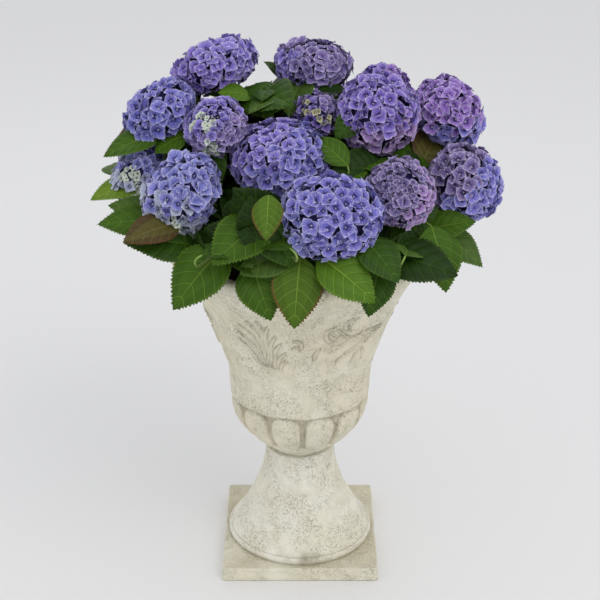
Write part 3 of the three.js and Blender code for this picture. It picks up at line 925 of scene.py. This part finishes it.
def stroke_points(stroke):
    """A smooth run of points through a stroke's control points (mm)."""
    control = np.array(stroke, float)
    if len(control) == 2:
        control = np.array([control[0], control.mean(0), control[1]])
    ends = np.concatenate([[2 * control[0] - control[1]], control, [2 * control[-1] - control[-2]]])
    run = []
    for k in range(1, len(ends) - 2):
        a, b, c, d = ends[k - 1:k + 3]
        for t in np.linspace(0, 1, 7)[:-1]:
            run.append(0.5 * (2 * b + (c - a) * t + (2 * a - 5 * b + 4 * c - d) * t ** 2
                              + (3 * b - a - 3 * c + d) * t ** 3))
    run.append(control[-1])
    return np.array(run)


# Carved lines on the wall, in mm: across from the motif's middle, up from the foot of the wall.
PALMETTE = [
    [(-50, 84), (-33, 63), (-17, 32)], [(-50, 102), (-30, 82), (-19, 64), (-12, 30)],
    [(-40, 118), (-24, 100), (-16, 78), (-8, 30)], [(-22, 130), (-14, 108), (-9, 78), (-4, 30)],
    [(-6, 134), (-3, 111), (-5, 84), (0, 30)], [(8, 124), (0, 92), (4, 30)],
    [(17, 104), (6, 76), (8, 30)], [(24, 88), (12, 66), (11, 30)],
    [(30, 68), (17, 50), (14, 30)], [(30, 48), (22, 42), (18, 28)],
    [(44, 97), (53, 90), (55, 76)], [(40, 77), (48, 80), (54, 74)],
]
SCROLL = [
    [(-43, 123), (-55, 114), (-55, 98), (-44, 85), (-32, 84)], [(-44, 113), (-49, 104), (-42, 94), (-34, 99)],
    [(-40, 115), (-24, 96), (-14, 91)], [(-21, 136), (-29, 127), (-27, 114), (-18, 106)],
    [(-11, 134), (-22, 127), (-20, 115)], [(-55, 78), (-30, 76), (-6, 92), (46, 96)],
    [(-20, 57), (1, 66), (22, 84), (40, 90)], [(18, 68), (32, 78), (52, 92)],
    [(-31, 35), (-27, 47), (-2, 56), (10, 74)], [(-53, 66), (-50, 77), (-38, 70), (-48, 63)],
    [(-72, 50), (-70, 62), (-62, 76)],
    [(26, 30), (24, 46), (14, 60)], [(0, 34), (6, 46), (4, 58)],
]
MOTIFS = [(radians(-20 + 120 * k), PALMETTE) for k in range(3)]
MOTIFS += [(radians(36 + 120 * k), SCROLL) for k in range(3)]
RELIEF_REACH = 150  # mm, radius at which the motifs are drawn flat
RIDGE = 2.1  # mm, half width of a raised line
RIDGE_HEIGHT = 3.0
DITCH_DEPTH = 1.4


def relief(azimuth, z):
    """Height in metres of the carving above the wall; azimuth is from the front, in radians."""
    height = np.zeros_like(z)
    for turn, strokes in MOTIFS:
        x = ((azimuth - turn + np.pi) % (2 * np.pi) - np.pi) * RELIEF_REACH
        y = (z - WALL_FOOT) * 1000 - 4
        near = (np.abs(x) < 95) & (y > 8) & (y < 145)
        px, py = x[near], y[near]
        ridge, ditch = np.zeros_like(px), np.zeros_like(px)
        for stroke in strokes:
            run = stroke_points(stroke)
            best = np.full_like(px, 1e9)
            for k, ((ax, ay), (bx, by)) in enumerate(zip(run[:-1], run[1:])):
                dx, dy = bx - ax, by - ay
                t = np.clip(((px - ax) * dx + (py - ay) * dy) / (dx * dx + dy * dy + 1e-9), 0, 1)
                taper = 0.35 + 0.65 * np.sin(np.pi * (k + t) / (len(run) - 1)) ** 0.6
                best = np.minimum(best, np.hypot(px - ax - t * dx, py - ay - t * dy) / taper)
            ridge = np.maximum(ridge, np.exp(-(best / RIDGE) ** 3))
            ditch = np.maximum(ditch, np.exp(-((best - 1.5 * RIDGE) / (0.55 * RIDGE)) ** 2))
        height[near] += RIDGE_HEIGHT * ridge - DITCH_DEPTH * ditch * (1 - ridge)
    return height * MM


def gadroon_depth(azimuth, z):
    """How far the surface lies below the faces of the tongues round the cup, in metres."""
    phase = ((azimuth - GADROON_TURN) / (2 * np.pi / GADROONS)) % 1.0
    side = np.abs(phase - 0.5) / GADROON_FILL
    rise = np.abs(z - GADROON_MIDDLE) / GADROON_HALF
    outside = smooth(0.72, 1.25, side ** 4 + rise ** 4)
    band = smooth(0.239, 0.249, z) * (1 - smooth(0.3175, 0.3225, z))
    return (GADROON_DEPTH * outside + GADROON_CROWN * np.minimum(side, 1) ** 2) * band


def round_points(azimuth, reach, z):
    """Points at these distances from the urn's axis, at azimuths from the front."""
    return np.stack([reach * np.sin(azimuth), -reach * np.cos(azimuth), z], -1).reshape(-1, 3)


def outward(points):
    flat = points * [1, 1, 0]
    return flat / np.maximum(np.linalg.norm(flat, axis=1), 1e-6)[:, None]


def roughen(points, *waves):
    """Moves points in and out by noise; each wave is an amount, a scale and a shift."""
    away = outward(points)
    for amount, scale, shift in waves:
        points = points + away * (fuzz_field(points, scale, shift) * amount)[:, None]
    return points


def round_mesh(name, points, columns, material):
    quads = grid_quads(len(points) // columns, columns, closed=True)
    return quad_mesh(name, points, quads, np.zeros(len(quads), int), [material])


def finish_urn(name, node, points, columns, material, hollows=0.0):
    """An urn piece; hollows holds how much each point is darkened, from 0 to 1: grime, and on the bowl also
    painted shade.
    """
    piece = round_mesh(name, points, columns, material)
    grime_and_shade = piece.data.attributes.new("grime_and_shade", "FLOAT", "POINT")
    grime_and_shade.data.foreach_set("value", np.float32(hollows * np.ones(len(points))))
    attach(piece, "root")
    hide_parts(node)


def make_bowl(material):
    profile = bowl_profile()
    columns = 600
    outer = np.arange(len(profile)) < len(profile) - 8  # the last rows are the inside
    azimuth, z = np.meshgrid(full_turn(columns), profile[:, 1])
    carved = relief(azimuth, z)
    sunk = gadroon_depth(azimuth, z)
    reach = profile[:, :1] + (carved - sunk) * outer[:, None]
    points = roughen(round_points(azimuth, reach, z), (0.0011, 14, 3.0), (0.0008, 60, 9.0))
    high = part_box("urn_bowl")[1]
    over = np.maximum(np.linalg.norm(points[:, :2], axis=1) / (high.x + 0.001), 1)
    points[:, :2] /= over[:, None]
    # Darkening: in the carved ditches and between the gadroons partly grime and partly painted shade; the
    # thin bands at the top of the gadroons and at the bowl's foot above the pedestal are painted shadow
    # lines.
    hollows = np.clip(-carved / 0.0012, 0, 1) * 0.75 + np.clip((sunk - 0.0035) / 0.004, 0, 1) * 0.6
    hollows += np.exp(-((z - 0.3215) / 0.0022) ** 2) * 0.6 + np.exp(-((z - 0.2136) / 0.001) ** 2) * 0.9
    patchy = 0.55 + 0.45 * np.clip(1 + 1.6 * fuzz_field(points, 26, 7.0), 0, 2)
    hollows = np.clip(hollows.ravel() * patchy, 0, 1) * np.repeat(outer, columns)
    finish_urn("urn_bowl_carved", "urn_bowl", points, columns, material, hollows)


def make_pedestal(material):
    low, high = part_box("urn_pedestal")
    rows = [(0.02, low.z), (0.09, low.z), (FOOT_REACH - 0.002, low.z)]
    rows += arc(FOOT_REACH - 0.006, low.z + 0.0075, FOOT_ROLL, FOOT_ROLL, -50, 120, 10)
    rows += [(0.1286, 0.0412), (0.1272, 0.0432), (0.1250, 0.0458), (0.1214, 0.0500)]
    for z in np.linspace(NECK_FOOT, high.z - 0.001, 70):
        rise = (z - NECK_FOOT) / (NECK_TOP - NECK_FOOT)
        rows.append((NECK_REACH + (NECK_FOOT_REACH - NECK_REACH) * (1 - rise) ** 1.8, z))
    rows += [(NECK_REACH - 0.0015, high.z), (0.045, high.z - 0.0002), (0.02, high.z - 0.0004)]
    profile = np.array(rows)
    columns = 220
    azimuth, z = np.meshgrid(full_turn(columns), profile[:, 1])
    points = roughen(round_points(azimuth, profile[:, :1], z), (0.0018, 11, 21.0), (0.0008, 48, 5.0))
    turn = np.arctan2(points[:, 0], -points[:, 1])
    stain = np.exp(-((turn - 0.16) / 0.17) ** 4 - ((points[:, 2] - 0.040) / 0.009) ** 2)
    seam = np.exp(-((points[:, 2] - 0.0435) / 0.0025) ** 2) * 0.15
    hollows = np.clip(1.2 * stain + seam, 0, 1) * np.clip(0.75 + fuzz_field(points, 40, 1.0), 0, 1)
    finish_urn("urn_pedestal_turned", "urn_pedestal", points, columns, material, hollows)


CHIP_REACH, CHIP_DEPTH = 0.03, 0.0035  # the worn corner at the front right


def make_plinth(material):
    """A square slab: each row is a share of its half width and a height."""
    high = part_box("urn_plinth")[1]
    half = high.x
    columns = 240
    corner, edge_in, edge_down = 0.004, 0.0032 / half, 0.0035
    rows = [(share, 0.0) for share in (0.02, 0.5, 0.9, 0.985)]
    rows += [(1.0, z) for z in np.linspace(0.0012, high.z - edge_down, 12)]
    rows += arc(1 - edge_in, high.z - edge_down, edge_in, edge_down, 0, 90, 6)
    rows += [(share, high.z) for share in np.linspace(0.965, 0.30, 26)]
    rows.append((0.02, high.z))
    turn = (np.arange(columns) + 0.5) / columns * 2 * np.pi
    square = np.stack([np.cos(turn), np.sin(turn)], 1)
    square = square / np.maximum(np.abs(square[:, :1]), np.abs(square[:, 1:]))
    edge = np.abs(square).min(1) * half
    square = square * (1 - np.maximum(edge - (half - corner), 0)[:, None] ** 2 / (2 * corner * half))
    points = np.array([[x * share * half, y * share * half, z] for share, z in rows for x, y in square])
    worn, fine = fuzz_field(points, 24, 4.0), fuzz_field(points, 90, 8.0)
    side = (points[:, 2] > 0.002)[:, None]
    points = points - outward(points) * side * (0.0014 * np.abs(worn) + 0.0006 * np.abs(fine))[:, None]
    top = points[:, 2] > high.z - 0.001
    points[top, 2] -= 0.0007 * np.abs(worn[top]) + 0.0004 * np.abs(fine[top])
    chip = Vector((half, -half, high.z))
    for k, point in enumerate(points):
        gap = (Vector(point) - chip).length
        if gap < CHIP_REACH and point[2] > 0.012:
            points[k] -= unit([1, -1, 0.8]) * CHIP_DEPTH * (1 - gap / CHIP_REACH) * (1 + worn[k])
    finish_urn("urn_plinth_slab", "urn_plinth", points, columns, material)


def make_soil(material):
    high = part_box("soil")[1]
    columns, rings = 96, 26
    reach = high.x - 0.002
    rows = [(reach * 0.9, high.z - 0.045), (reach, high.z - 0.03)]
    rows += [(reach * share, high.z - 0.006) for share in np.linspace(1, 0.02, rings)]
    points = np.array([[r * cos(a), r * sin(a), z] for r, z in rows for a in full_turn(columns)])
    lumps = fuzz_field(points, 60, 2.0) * 0.005 + np.abs(fuzz_field(points, 170, 6.0)) * 0.004
    points[columns * 2:, 2] += lumps[columns * 2:]
    piece = round_mesh("soil_crumbs", points, columns, material)
    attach(piece, "root")
    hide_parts("soil")


# ---- stone and soil materials

class Nodes:
    """Short calls for building a material's node tree."""

    def __init__(self, name, roughness):
        self.material = bpy.data.materials.new(name)
        self.material.use_nodes = True
        self.tree = self.material.node_tree
        self.shader = self.tree.nodes["Principled BSDF"]
        set_inputs(self.shader, {"Roughness": roughness, "Specular IOR Level": 0.25})
        self.where = self.new("TexCoord", {}, "Object")

    def new(self, kind, inputs, output, **settings):
        """Adds a node and returns the output asked for."""
        node = self.tree.nodes.new("ShaderNode" + kind)
        for key, value in settings.items():
            setattr(node, key, value)
        set_inputs(node, inputs)
        return node.outputs[output]

    def noise(self, scale, detail, rough, distortion=0.0, stretch=None):
        where = self.where
        if stretch:
            where = self.new("Mapping", {"Vector": where, "Scale": stretch}, "Vector")
        shape = {"Scale": scale, "Detail": detail, "Roughness": rough, "Distortion": distortion}
        return self.new("TexNoise", {"Vector": where, **shape}, "Fac")

    def span(self, value, low, high, out_low=0.0, out_high=1.0):
        limits = {"From Min": low, "From Max": high, "To Min": out_low, "To Max": out_high}
        return self.new("MapRange", {"Value": value, **limits}, "Result", interpolation_type="SMOOTHSTEP")

    def math(self, operation, a, b):
        return self.new("Math", {0: a, 1: b}, "Value", operation=operation)

    def times(self, a, b):
        return self.math("MULTIPLY", a, b)

    def mix(self, share, *colours):
        a, b = ((*c, 1) if isinstance(c, tuple) else c for c in colours)
        return self.new("Mix", {0: share, 6: a, 7: b}, 2, data_type="RGBA")

    def finish(self, colour, height, depth, strength):
        bump = self.new("Bump", {"Strength": strength, "Distance": depth, "Height": height}, "Normal")
        set_inputs(self.shader, {"Base Color": colour, "Normal": bump})
        return self.material


# Stone colours: light, warm and shade.
CREAM_STONE = srgb(236, 232, 214), srgb(230, 223, 199), srgb(210, 206, 182)
PALE_STONE = srgb(236, 233, 220), srgb(232, 227, 207), srgb(216, 212, 192)
# Colour of pits, flecks and dirt, and of the painted shade in the bowl's hollows.
DIRT_AND_SHADE = srgb(130, 120, 90)


def stone_material(name, light, warm, shade, dirt_and_shade_colour, level_grime, speck_share):
    """Weathered cast stone: mottled, pitted, grimy where it is level, and darkened in its hollows by grime
    and, on the bowl, by painted shade.
    """
    n = Nodes(name, 0.92)
    mottle = n.span(n.noise(7, 6, 0.62), 0.36, 0.64)
    cloud = n.span(n.noise(30, 5, 0.62, 0.4), 0.40, 0.64)
    colour = n.mix(mottle, light, warm)
    colour = n.mix(n.times(cloud, 0.50), colour, shade)
    clusters = n.span(n.noise(17, 4, 0.62), 0.33, 0.64)
    dashes = n.span(n.noise(215, 3, 0.55, 1.8, (1.0, 1.0, 0.75)), 0.57, 0.64)
    flecks = n.span(n.noise(330, 2, 0.5), 0.58, 0.66)
    marks = n.times(n.math("MAXIMUM", dashes, n.times(flecks, 0.75)), clusters)
    colour = n.mix(n.times(marks, speck_share), colour, dirt_and_shade_colour)
    grain = n.noise(420, 3, 0.7)
    colour = n.mix(n.times(n.span(grain, 0.50, 0.72), 0.16), colour, dirt_and_shade_colour)
    upward = n.new("SeparateXYZ", {"Vector": n.new("NewGeometry", {}, "Normal")}, "Z")
    level = n.times(n.span(upward, 0.72, 0.96), level_grime)
    # The grime attribute darkens towards the dirt colour: grime, and on the bowl painted shade in the
    # ditches, between the gadroons and along two shadow lines.
    grime_and_shade = n.new("Attribute", {}, "Fac", attribute_name="grime_and_shade")
    patch = n.span(n.noise(24, 4, 0.6), 0.30, 0.66, 0.5, 1.0)
    dirt_and_shade_share = n.math("MAXIMUM", level, n.times(grime_and_shade, 0.62))
    share = n.times(dirt_and_shade_share, patch)
    colour = n.mix(share, colour, dirt_and_shade_colour)
    height = n.math("ADD", n.times(marks, -1.0), n.times(grain, 0.5))
    height = n.math("ADD", height, n.times(n.noise(90, 4, 0.65), 0.9))
    return n.finish(colour, height, 0.0016, 0.75)


def soil_material():
    n = Nodes("potting_soil", 1.0)
    colour = n.mix(n.span(n.noise(120, 5, 0.7), 0.4, 0.65), srgb(58, 42, 32), srgb(28, 20, 16))
    return n.finish(colour, n.noise(300, 4, 0.7), 0.002, 0.8)


# ---- build

make_camera()
make_lights()
make_floor()
LEAF_MATS = leaf_materials()
PETAL_MATS = petal_materials()
BLOOMS = [Bloom(node) for node in sorted(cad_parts) if node.startswith("bloom_")]
for bloom in BLOOMS:
    bloom_piece(bloom, PETAL_MATS)
make_main_stem(LEAF_MATS)
make_canes(LEAF_MATS)
grow(BLOOMS, LEAF_MATS)

make_bowl(stone_material("stone_bowl", *CREAM_STONE, DIRT_AND_SHADE, 0.25, 0.52))
make_pedestal(stone_material("stone_pedestal", *PALE_STONE, DIRT_AND_SHADE, 0.0, 0.40))
make_plinth(stone_material("stone_plinth", *CREAM_STONE, DIRT_AND_SHADE, 0.28, 0.45))
make_soil(soil_material())
